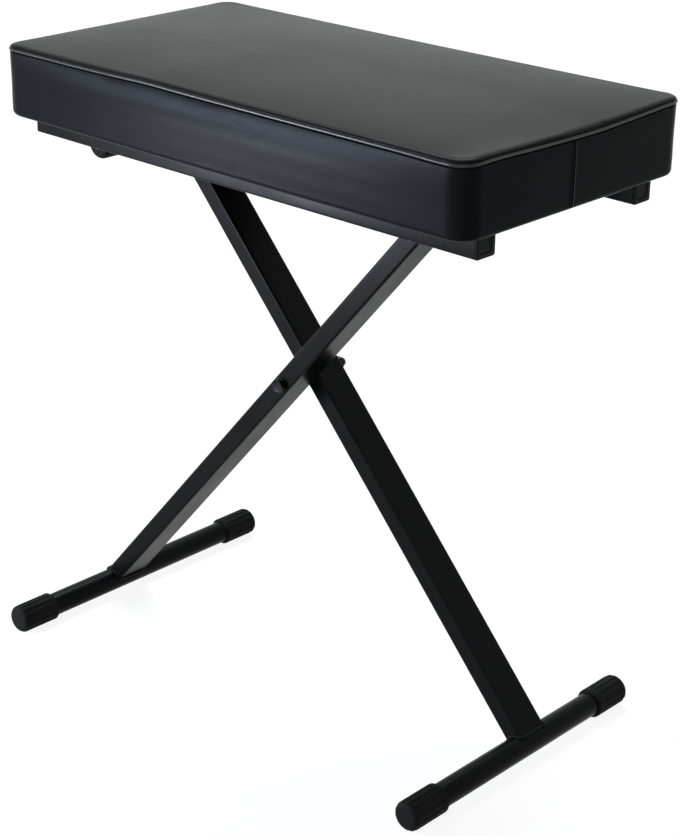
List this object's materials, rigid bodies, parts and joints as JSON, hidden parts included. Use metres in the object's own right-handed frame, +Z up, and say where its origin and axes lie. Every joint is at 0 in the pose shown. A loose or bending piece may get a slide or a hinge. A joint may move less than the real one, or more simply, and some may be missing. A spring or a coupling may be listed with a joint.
{
  "type": "folding keyboard bench",
  "caption": "Folding bench with a padded vinyl seat on square rails, carried by crossed flat-tube legs on round foot tubes with fluted rubber caps.",
  "frame": {"origin": "on the floor, under the middle of the bench's box", "axes": "+Z up, +X along the seat from the height bar's end to the hinge's end, +Y from the front rail to the rear rail"},
  "size_m": [0.622, 0.363, 0.6712],
  "materials": {
    "vinyl": "black grained vinyl on a knitted backing, low sheen",
    "paint": "semi-gloss black powder coat",
    "rubber": "matt black moulded rubber",
    "plastic": "moulded black plastic",
    "nylon": "moulded dark nylon",
    "black_steel": "black oxide on steel",
    "zinc_steel": "bright zinc plate",
    "plywood": "raw plywood",
    "lining": "black non-woven cloth"
  },
  "bodies": {
    "front_leg_frame": {"front_leg": "paint", "front_foot_tube": "paint", "front_foot_cap_near": "rubber", "front_foot_cap_far": "rubber", "front_pivot_sleeve": "zinc_steel", "hinge_tube": "paint", "hinge_bush_near": "nylon", "hinge_bush_far": "nylon", "hinge_washer_near": "nylon", "hinge_washer_far": "nylon", "pivot_bolt": "black_steel", "pivot_head_washer": "black_steel", "pivot_nut_washer": "black_steel", "pivot_spacer": "nylon", "pivot_nut": "black_steel"},
    "rear_leg_frame": {"rear_leg": "paint", "rear_foot_tube": "paint", "rear_foot_cap_near": "rubber", "rear_foot_cap_far": "rubber", "rear_pivot_sleeve": "zinc_steel", "height_bar": "paint", "height_bar_cap_near": "rubber", "height_bar_cap_far": "rubber"},
    "seat": {"seat_cushion": "vinyl", "seat_board": "plywood", "seat_lining": "lining", "front_rail": "paint", "rear_rail": "paint", "front_rail_left_plug": "plastic", "front_rail_right_plug": "plastic", "rear_rail_left_plug": "plastic", "rear_rail_right_plug": "plastic", "front_rail_left_screw": "black_steel", "front_rail_right_screw": "black_steel", "rear_rail_left_screw": "black_steel", "rear_rail_right_screw": "black_steel", "front_rail_left_tee_nut": "zinc_steel", "front_rail_right_tee_nut": "zinc_steel", "rear_rail_left_tee_nut": "zinc_steel", "rear_rail_right_tee_nut": "zinc_steel", "front_height_bracket": "black_steel", "rear_height_bracket": "black_steel", "front_bracket_left_screw": "black_steel", "front_bracket_right_screw": "black_steel", "rear_bracket_left_screw": "black_steel", "rear_bracket_right_screw": "black_steel", "hinge_axle": "zinc_steel"}
  },
  "joints": [
    {"name": "seat_hinge", "type": "hinge", "parent": "front_leg_frame", "child": "seat", "pos_m": [0.18756, 0, 0.5805], "axis": [0, -1, 0], "range_deg": [0, 44.5]},
    {"name": "x_pivot", "type": "hinge", "parent": "front_leg_frame", "child": "rear_leg_frame", "pos_m": [-0.01998, 0, 0.3398], "axis": [0, -1, 0], "range_deg": [0, 91]}
  ],
  "couplings": [
    {"joint": "x_pivot", "follows": "seat_hinge", "ratio": 2.03}
  ]
}
